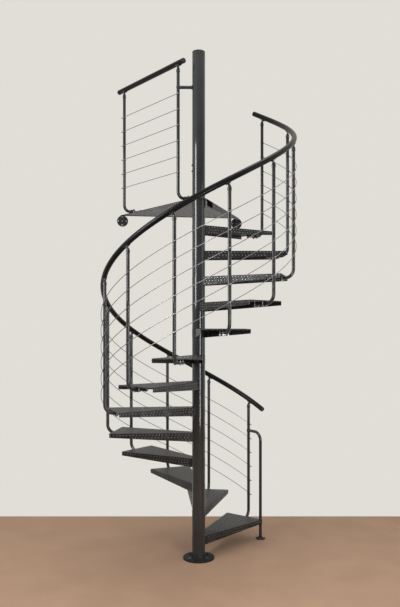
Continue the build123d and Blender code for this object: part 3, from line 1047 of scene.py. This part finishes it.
def cup():
    """The socket over a baluster's top."""
    piece = upright(CUP_R, -CUP_TOP - CUP_DEPTH, CUP_RIM, 28, "cup")
    bevel_at(piece, at_height(CUP_RIM), CUP_ROUND, 4)
    step_under(piece, CUP_WALL, CUP_HOLLOW)
    return piece


def knuckle():
    """The ball between cup and stem, flattened at its cheeks."""
    bpy.ops.mesh.primitive_uv_sphere_add(segments=20, ring_count=12, radius=KNUCKLE_R)
    piece = settle("knuckle", POWDER)
    narrow_at(piece, "FACE", lambda middle, normal: abs(middle.y) > KNUCKLE_CHEEK, (1, NARROWED, 1))
    return piece


def stem(spot):
    """The waisted pin from the knuckle to the saddle."""
    piece = upright(STEM_R, 0, STEM_LENGTH + SINK, 20, "stem")
    choose(piece, "FACE", lambda middle, normal: abs(normal.z) < 0.1)
    bpy.ops.mesh.subdivide(number_cuts=2)
    leave()
    low, high = STEM_WAIST
    narrow_at(piece, "VERT", lambda place, normal: low < place.z < high, (NARROWED, NARROWED, 1))
    piece.data.transform(facing((0, 0, 0), spot, (0, 1, 0)))
    return piece


def bracket(spot, along):
    """Cup, knuckle, stem and saddle for a rail at a spot, with the elbow at zero."""
    screw = button_screw(CUP_SCREW_R)
    screw.data.transform(moved(*CUP_SCREW_SEAT) @ turned(pi / 2, "X"))
    return join("bracket", [cup(), knuckle(), stem(spot), screw, saddle(spot, along)])


def stair_bracket():
    back = BRACKET_REACH * sin(SLOPE) / POST_CIRCLE_R
    rise = BRACKET_REACH / cos(SLOPE) - POST_CIRCLE_R * back * tan(SLOPE)
    return bracket(polar(POST_CIRCLE_R, -back, rise) - polar(POST_CIRCLE_R, 0), climbing(-back, SLOPE))


def add_brackets():
    elbows = [at_post(number, ELBOW) for number in TREAD_NUMBERS]
    sloped = array_of("stair_brackets", stair_bracket(), elbows)
    level = bracket(Vector((0, 0, BRACKET_REACH)), (0, 1, 0))
    lift = moved(z=GUARD_HEIGHT - BRACKET_REACH) @ turned(pi)
    top = array_of("guard_brackets", level, [guard_place(distance) @ lift for distance in GUARD_POSTS])
    finish(join("brackets", [sloped, top]), STEEL, "rail_brackets")


# --- wires and clips
def ferrule():
    """The crimped stop on a wire's end: the wire's end is at zero and its run towards +Z."""
    return eased(SLEEVE_R, *FERRULE, 14, "ferrule", SOFT_EDGE, ZINC)


def add_stair_wires():
    start, end = FIRST_TURN - WIRE_END_TURN, LAST_TURN + WIRE_END_TURN
    wires = []
    places = []
    for height in WIRE_HEIGHTS:
        above = height - RAIL_HEIGHT
        wires.append(helix("wire", WIRE_R, WIRE_CIRCLE_R, start, end, above, 8, WIRE))
        for turn, way in ((start, 1), (end, -1)):
            spot = polar(WIRE_CIRCLE_R, turn, rail_level(turn) + above)
            places.append(facing(spot, climbing(turn, WIRE_SLOPE) * way))
    finish(join("infill_strands", wires + copies_of(ferrule(), places)), "bright_wire", "infill_wires")


def guard_bar(name, radius, ends, reach, height, sides, coat):
    """A level bar along the guard between two distances, beside the uprights' line by its reach."""
    half = (ends[1] - ends[0]) / 2
    bar = upright(radius, -half, half, sides, name, coat)
    bar.data.transform(guard_place(sum(ends) / 2) @ moved(reach, 0, height) @ turned(pi / 2, "X"))
    return bar


def add_guard_wires():
    wires = []
    places = []
    for height in GUARD_WIRE_HEIGHTS:
        wires.append(guard_bar("guard_wire", WIRE_R, GUARD_WIRE, WIRE_REACH, height, 10, WIRE))
        for distance, way in zip(GUARD_WIRE, (1, -1)):
            spot = guard_place(distance) @ Vector((WIRE_REACH, 0, height))
            places.append(facing(spot, polar(way, LANDING_LEFT)))
    finish(join("guard_strands", wires + copies_of(ferrule(), places)), "bright_wire", "guard_wires")


def wire_clip(slope):
    """A band round an upright on Z, with an eye that holds the wire beside it on +X."""
    band = eased(CLIP_R, -CLIP_HALF, CLIP_HALF, 20, "band", CLIP_EDGE, segments=1)
    eye = eased(SLEEVE_R, -EYE_HALF, EYE_HALF, 12, "eye", SOFT_EDGE, ZINC, 1)
    eye.data.transform(moved(POST_R + WIRE_R) @ turned(slope - pi / 2, "X"))
    return join("clip", [band, eye])


def add_wire_clips():
    places = [at_post(number, height) for number in TREAD_NUMBERS for height in WIRE_HEIGHTS]
    finish(array_of("wire_clips", wire_clip(WIRE_SLOPE), places), "bright_wire")
    lifts = [moved(z=height) for height in GUARD_WIRE_HEIGHTS]
    places = [guard_place(distance) @ lift for distance in GUARD_POSTS for lift in lifts]
    finish(array_of("guard_wire_clips", wire_clip(0.0), places), "bright_wire")


# --- landing
def far_corner(turn, side):
    foot = polar(LANDING_RING_R, turn + side * pi / 2)
    away = polar(1, turn)
    out = polar(1, LANDING_FAR)
    return foot + away * ((LANDING_DEPTH - foot.dot(out)) / away.dot(out))


def landing_corners():
    """The landing's right root, right tip, left tip and left root, with its far edge square to +X."""
    corners = (
        polar(LANDING_RING_R, LANDING_RIGHT - pi / 2),
        far_corner(LANDING_RIGHT, -1),
        far_corner(LANDING_LEFT, 1),
        polar(LANDING_RING_R, LANDING_LEFT + pi / 2),
    )
    return [turned(-LANDING_FAR) @ corner for corner in corners]


def landing_pan(corners):
    pan = flat_sheet("landing_pan", corners)
    deepening = LANDING_FLANGE_ROOT - LANDING_FLANGE_TIP
    fold_pan(pan, LANDING_FLANGE_TIP, LANDING_LIP, LANDING_ROOT_REACH, deepening)
    remove_at(pan, "FACE", lambda middle, normal: normal.x < -0.5 and middle.z < -SHEET, "ONLY_FACE")
    modify(pan, "SOLIDIFY", thickness=SHEET, offset=-1)
    return pan


def landing_ring():
    ring = upright(LANDING_RING_R, -LANDING_COLLAR, 0, 64, "landing_ring", SHEET_COAT)
    remove_at(ring, "FACE", facing_down, "ONLY_FACE")
    bevel_at(ring, at_height(0), SHEET, 3)
    modify(ring, "SOLIDIFY", thickness=SHEET, offset=-1)
    return ring


def root_shadow_plate(corners):
    """A black plate on the landing's right flange against the pole: a painted shadow for the shade in
    the corner between flange and pole.
    """
    run = (corners[1] - corners[0]).normalized()
    bpy.ops.mesh.primitive_cube_add(size=1, location=(ROOT_SHADOW_PLATE[0] / 2, 0, -ROOT_SHADOW_PLATE[2] / 2 - SHEET))
    plate = bpy.context.object
    plate.scale = ROOT_SHADOW_PLATE
    plate = settle("root_shadow_plate", ROOT_SHADOW_COAT)
    soften(plate, FINE_EDGE)
    out = Vector((run.y, -run.x, 0))
    turn = Matrix((run, -out, Vector((0, 0, 1)))).transposed().to_4x4()
    plate.data.transform(moved(*corners[0] + out * ROOT_SHADOW_PLATE[1] / 2) @ turn)
    return plate


def landing_studs(corners):
    """The studs on the landing's top and on its two side flanges."""
    right_root, right_tip, left_tip, left_root = corners

    def edge_at(x, root, tip):
        return root.y + (tip.y - root.y) * (x - root.x) / (tip.x - root.x)

    def ends_at(along):
        low = edge_at(along, right_root, right_tip) + LANDING_STUD_SIDE
        high = edge_at(along, left_root, left_tip) - LANDING_STUD_SIDE
        return low, high

    first = LANDING_RING_R + LANDING_STUD_END
    depths = (LANDING_FLANGE_ROOT, LANDING_FLANGE_TIP)
    return [
        studs(stud_rows(first, LANDING_DEPTH - LANDING_STUD_END, ends_at)),
        flange_studs(right_root, right_tip, 1, *depths),
        flange_studs(left_root, left_tip, -1, *depths),
    ]


def add_landing():
    corners = landing_corners()
    # The black plate at the right flange's root is a painted shadow.
    pieces = [landing_pan(corners), landing_ring(), hub_ring(LANDING_FLANGE_ROOT), root_shadow_plate(corners)]
    whole = join("landing_sheet", pieces + landing_studs(corners))
    flat_map(whole)
    whole.data.transform(moved(z=LANDING_TOP) @ turned(LANDING_FAR))
    finish(whole, "anti_slip_sheet", "landing_platform")


def slab_disc():
    """Round plate with four bolts and a centre screw, its back at zero."""
    disc = eased(DISC_R, 0, DISC_THICKNESS, 48, "disc", SOFT_EDGE)
    seats = [seat @ turned(pi, "X") for seat in round_seats(4, DISC_BOLT_CIRCLE_R, 0)]
    bolts = copies_of(hex_bolt(DISC_BOLT_HEAD, DISC_BOLT_WASHER_R), seats)
    return join("slab_disc", [disc, *bolts, *copies_of(button_screw(), [turned(pi, "X")])])


def add_slab_discs():
    left = far_corner(LANDING_LEFT, 1)
    right = far_corner(LANDING_RIGHT, -1)
    inward = (right - left).normalized()
    places = []
    for corner, way in ((left, 1), (right, -1)):
        spot = corner + inward * DISC_INSET * way + Vector((0, 0, LANDING_TOP - DISC_DROP))
        places.append(facing(spot, polar(1, LANDING_FAR)))
    finish(array_of("slab_discs", slab_disc(), places), STEEL, "slab_flanges")


# --- guard
def add_guard():
    rise = GUARD_HEIGHT - BRACKET_REACH - CUP_TOP - GUARD_LEG_LIFT
    master = bent_tube("guard_post", LEG_LENGTH, GUARD_LEG_LIFT, GUARD_BEND_R, rise)
    tubes = array_of("guard_tubes", master, [guard_place(distance) for distance in GUARD_POSTS])
    finish(tubes, STEEL, "guard_posts")
    rail = guard_bar("guard_handrail", RAIL_R, GUARD_RAIL, 0, GUARD_HEIGHT, 32, RAIL_COAT)
    soften(rail, RAIL_EDGE)
    finish(rail, "black_handrail", "guard_rail")


def add_strut():
    """Tube from the pole to the near upright, with a collar at the pole and a band at the upright."""
    run = guard_place(GUARD_POSTS[0]).translation
    run.z = 0
    length = run.length - POLE_R - POST_R
    tube = upright(POST_R, 0, length, 24, "strut")
    collar = eased(STRUT_COLLAR_R, 0, STRUT_COLLAR, 24, "strut_collar", BAND_EDGE)
    band = eased(BAND_R, -STRUT_BAND_HALF, STRUT_BAND_HALF, 24, "strut_band", BAND_EDGE)
    band.data.transform(moved(z=length + POST_R) @ turned(pi / 2, "X"))
    whole = join("guard_strut_tube", [tube, collar, band])
    height = LANDING_TOP + GUARD_HEIGHT - STRUT_DROP
    whole.data.transform(facing(run.normalized() * POLE_R + Vector((0, 0, height)), run))
    finish(whole, STEEL, "guard_strut")


# --- start brace
def corner_strap():
    """The strap that ties the brace to the lowest tread's nose, with bright screws."""
    low, high = STRAP_LEVEL - STRAP_HALF, STRAP_LEVEL + STRAP_HALF
    band = eased(STRAP_R, low, high, 24, "corner_strap", BAND_EDGE)
    seats = [facing_out(STRAP_SEAT_R, FIRST_TURN + turn, STRAP_LEVEL) for turn in STRAP_SCREW_TURNS]
    return join("corner_strap", [band, *copies_of(button_screw(STRAP_SCREW_R), seats)])


def brace_tube(run):
    """The tube from the foot up and back along a run to the first baluster, where a band holds it."""
    drop = FOOT_THICKNESS - BRACE_HEIGHT
    tube = bent_tube("brace_tube", run.length - POST_R, 0, BRACE_BEND_R, drop)
    band = eased(BAND_R, -BRACE_BAND_HALF, BRACE_BAND_HALF, 24, "brace_band", BAND_EDGE)
    band.data.transform(moved(-run.length))
    whole = join("brace", [tube, band])
    turn = Vector((1, 0, 0)).rotation_difference(run.normalized()).to_matrix().to_4x4()
    whole.data.transform(moved(z=BRACE_HEIGHT) @ turn)
    return whole


def brace_foot():
    plate = eased(FOOT_R, 0, FOOT_THICKNESS, 40, "foot_plate", FOOT_EDGE, PLATE_COAT, 3)
    low = FOOT_THICKNESS - SINK
    collar = eased(FOOT_COLLAR_R, low, FOOT_COLLAR_TOP, 28, "foot_collar", FOOT_COLLAR_EDGE)
    seats = round_seats(3, FOOT_SCREW_CIRCLE_R, FOOT_SCREW_TURN, FOOT_THICKNESS)
    return join("brace_foot", [plate, collar, *copies_of(button_screw(), seats)])


def add_brace():
    foot = turned(FIRST_TURN) @ Vector((NOSE_X + REST_GAP + POST_R, -BRACE_SIDE, 0))
    run = foot - polar(POST_CIRCLE_R, FIRST_TURN)
    brace = join("brace", [brace_tube(run), corner_strap()])
    stand = brace_foot()
    for piece, node in ((brace, "start_brace"), (stand, "start_foot")):
        piece.data.transform(moved(*foot))
        finish(piece, STEEL, node)


# --- pole
def add_pole():
    low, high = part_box("pole")
    tube = eased(POLE_R, low.z, high.z, 96, "pole_tube", FINE_EDGE)
    seats = [facing_out(POLE_R, POLE_SCREW_TURN, level) for level in POLE_SCREW_LEVELS]
    screws = copies_of(button_screw(POLE_SCREW_R, PLASTIC), seats)
    finish(join("pole_tube", [tube, *screws]), STEEL, "pole")


def weld_bead():
    """The bead round the pole's foot, without the part that lies in the plate."""
    bpy.ops.mesh.primitive_torus_add(
        major_segments=96, minor_segments=12, major_radius=WELD_CIRCLE_R, minor_radius=WELD_R,
        location=(0, 0, BASE_THICKNESS)
    )
    bead = settle("weld_bead", PLATE_COAT)
    remove_at(bead, "FACE", lambda middle, normal: middle.z < BASE_THICKNESS - WELD_BURIED, "FACE")
    return bead


def base_collar():
    collar = upright(BASE_COLLAR_R, BASE_THICKNESS - SINK, BASE_COLLAR_TOP, 64, "collar", PLATE_COAT)
    narrow_at(collar, "VERT", at_height(BASE_COLLAR_TOP), (BASE_COLLAR_TAPER, BASE_COLLAR_TAPER, 1))
    soften(collar, FINE_EDGE)
    return collar


def add_base():
    plate = upright(BASE_R, 0, BASE_THICKNESS, 96, "base_disc", PLATE_COAT)
    bevel_at(plate, at_height(BASE_THICKNESS), BASE_EDGE, 3)
    seats = round_seats(4, ANCHOR_CIRCLE_R, pi / 4, BASE_THICKNESS)
    bolts = copies_of(hex_bolt(ANCHOR_HEAD, ANCHOR_WASHER_R, POWDER), seats)
    whole = join("base_disc", [plate, weld_bead(), base_collar(), *bolts])
    finish(whole, STEEL, "base_plate")


def add_pole_cap():
    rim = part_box("pole")[1].z
    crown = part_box("pole_cap")[1].z - rim - CROWN_RIM
    cap = upright(POLE_R, rim + CROWN_GAP, rim + CROWN_RIM, 64, "crown_cap", PLASTIC)
    choose(cap, "FACE", facing_up)
    for share in CROWN_RISES:
        step_in(CROWN_STEP, crown * share)
    leave()
    step_under(cap, CROWN_PLUG_INSET, -CROWN_PLUG)
    finish(cap, "black_plastic", "pole_cap")


# --- stage
def add_camera():
    place = (CAMERA_SIDE, -CAMERA_DISTANCE, CAMERA_HEIGHT)
    bpy.ops.object.camera_add(location=place, rotation=(pi / 2, 0, 0))
    camera = bpy.context.object
    camera.data.lens = CAMERA_LENS
    camera.data.sensor_width = CAMERA_SENSOR
    camera.data.shift_y = CAMERA_RISE
    bpy.context.scene.camera = camera


def ray_direction(tree):
    """The direction of a ray, as X, Y and Z."""
    split = tree.nodes.new("ShaderNodeSeparateXYZ")
    tree.links.new(coordinates(tree, "Generated"), split.inputs["Vector"])
    return split.outputs


def room_light(tree):
    """What the room sends back: pale walls behind and above, dim in front."""
    ray = ray_direction(tree)
    depth = map_range(tree, ray["Y"], *FRONT_TO_BACK, ends="From")
    lift = map_range(tree, ray["Z"], *WALL_TO_CEILING, ends="From")
    mix = tree.nodes.new("ShaderNodeMixRGB")
    dial(mix, Color2=(*CEILING, 1))
    tree.links.new(lift, mix.inputs["Fac"])
    tree.links.new(ramp(tree, depth, 0.0, 1.0, (DIM_FRONT, PALE_BACK)), mix.inputs["Color1"])
    return mix.outputs["Color"]


def combine(tree, operation, first, second):
    node = tree.nodes.new("ShaderNodeMath")
    node.operation = operation
    tree.links.new(first, node.inputs[0])
    tree.links.new(second, node.inputs[1])
    return node.outputs["Value"]


def background():
    """A pale backdrop for the eye and what mirrors it, and the room's own light for everything else."""
    world = bpy.data.worlds.new("studio")
    world.use_nodes = True
    bpy.context.scene.world = world
    tree = world.node_tree
    tree.nodes.clear()
    out = tree.nodes.new("ShaderNodeOutputWorld")
    ray = tree.nodes.new("ShaderNodeLightPath").outputs
    seen = tree.nodes.new("ShaderNodeBackground")
    light = tree.nodes.new("ShaderNodeBackground")
    mix = tree.nodes.new("ShaderNodeMixShader")
    dial(seen, Color=(*BACKDROP, 1))
    tree.links.new(room_light(tree), light.inputs["Color"])
    mirrored = combine(tree, "MAXIMUM", ray["Is Glossy Ray"], ray["Is Transmission Ray"])
    towards_back = map_range(tree, ray_direction(tree)["Y"], *BACKDROP_EDGE, ends="From")
    behind = combine(tree, "MULTIPLY", mirrored, towards_back)
    shown = combine(tree, "MAXIMUM", ray["Is Camera Ray"], behind)
    tree.links.new(shown, mix.inputs["Fac"])
    tree.links.new(light.outputs["Background"], mix.inputs[1])
    tree.links.new(seen.outputs["Background"], mix.inputs[2])
    tree.links.new(mix.outputs["Shader"], out.inputs["Surface"])


def add_floor():
    bpy.ops.mesh.primitive_plane_add(size=1, location=(0, FLOOR_BACK - FLOOR_DEPTH / 2, 0))
    floor = bpy.context.object
    floor.name = "studio_floor"
    floor.scale = (FLOOR_WIDTH, FLOOR_DEPTH, 1)
    material, tree, shader = new_material("studio_floor")
    grain = noise(tree, 3.0)
    tree.links.new(ramp(tree, grain, 0.3, 0.7, FLOOR_TONES), shader.inputs["Base Color"])
    dial(shader, Roughness=FLOOR_ROUGH, Specular_IOR_Level=FLOOR_SHINE)
    floor.data.materials.append(material)
    take(floor)
    bpy.ops.object.transform_apply()


def add_lamp(name, place, target, width, height, power):
    bpy.ops.object.light_add(type="AREA", location=place)
    lamp = bpy.context.object
    lamp.name = name
    lamp.data.shape = "RECTANGLE"
    lamp.data.size = width
    lamp.data.size_y = height
    lamp.data.energy = power
    aim = Vector(target) - Vector(place)
    lamp.rotation_euler = aim.to_track_quat("-Z", "Y").to_euler()


bpy.context.scene.view_settings.view_transform = "Standard"
bpy.ops.object.select_all(action="DESELECT")
add_camera()
background()
add_floor()
for lamp_values in LAMPS:
    add_lamp(*lamp_values)
dress_cad_nodes()
add_treads()
add_posts()
add_clamps()
add_handrail()
add_end_caps()
add_brackets()
add_stair_wires()
add_guard_wires()
add_wire_clips()
add_landing()
add_slab_discs()
add_guard()
add_strut()
add_brace()
add_pole()
add_base()
add_pole_cap()
